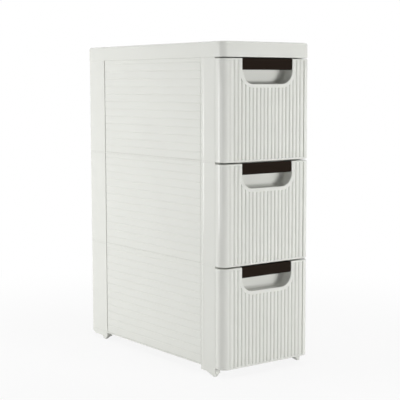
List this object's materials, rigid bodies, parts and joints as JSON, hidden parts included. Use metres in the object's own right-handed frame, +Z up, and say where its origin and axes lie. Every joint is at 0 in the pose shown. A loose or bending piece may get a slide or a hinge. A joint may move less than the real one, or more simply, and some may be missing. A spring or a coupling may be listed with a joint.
{
  "type": "plastic drawer tower",
  "caption": "Slim free-standing plastic tower of stacked pull-out drawers with ribbed fronts and dark recessed grip bars, on low corner feet.",
  "frame": {"origin": "middle of the base, on the plane that the feet stand on", "axes": "+Z up, drawer fronts face -Y, +X to the right of someone standing behind the camera and facing the fronts"},
  "size_m": [0.2, 0.442, 0.5855],
  "materials": {
    "shell": "semi-gloss moulded",
    "drawer_front": "semi-gloss moulded, ribbed",
    "tub": "satin moulded",
    "grip": "semi-gloss dark brown moulded",
    "foot": "satin moulded"
  },
  "bodies": {
    "cabinet": {"lid": "shell", "base_frame": "shell", "deck_lower": "shell", "deck_upper": "shell", "foot_front_left": "foot", "foot_front_right": "foot", "foot_rear_left": "foot", "foot_rear_right": "foot", "front_post_left_bottom": "shell", "front_post_left_middle": "shell", "front_post_left_top": "shell", "front_post_right_bottom": "shell", "front_post_right_middle": "shell", "front_post_right_top": "shell", "rear_post_left_bottom": "shell", "rear_post_left_middle": "shell", "rear_post_left_top": "shell", "rear_post_right_bottom": "shell", "rear_post_right_middle": "shell", "rear_post_right_top": "shell", "side_panel_left_bottom": "shell", "side_panel_left_middle": "shell", "side_panel_left_top": "shell", "side_panel_right_bottom": "shell", "side_panel_right_middle": "shell", "side_panel_right_top": "shell", "back_panel_bottom": "shell", "back_panel_middle": "shell", "back_panel_top": "shell"},
    "drawer_bottom": {"drawer_tub_bottom": "tub", "drawer_front_bottom": "drawer_front", "grip_bar_bottom": "grip"},
    "drawer_middle": {"drawer_tub_middle": "tub", "drawer_front_middle": "drawer_front", "grip_bar_middle": "grip"},
    "drawer_top": {"drawer_tub_top": "tub", "drawer_front_top": "drawer_front", "grip_bar_top": "grip"}
  },
  "joints": [
    {"name": "slide_bottom", "type": "slide", "parent": "cabinet", "child": "drawer_bottom", "axis": [0, -1, 0], "range_m": [0, 0.3]},
    {"name": "slide_middle", "type": "slide", "parent": "cabinet", "child": "drawer_middle", "axis": [0, -1, 0], "range_m": [0, 0.3]},
    {"name": "slide_top", "type": "slide", "parent": "cabinet", "child": "drawer_top", "axis": [0, -1, 0], "range_m": [0, 0.3]}
  ]
}
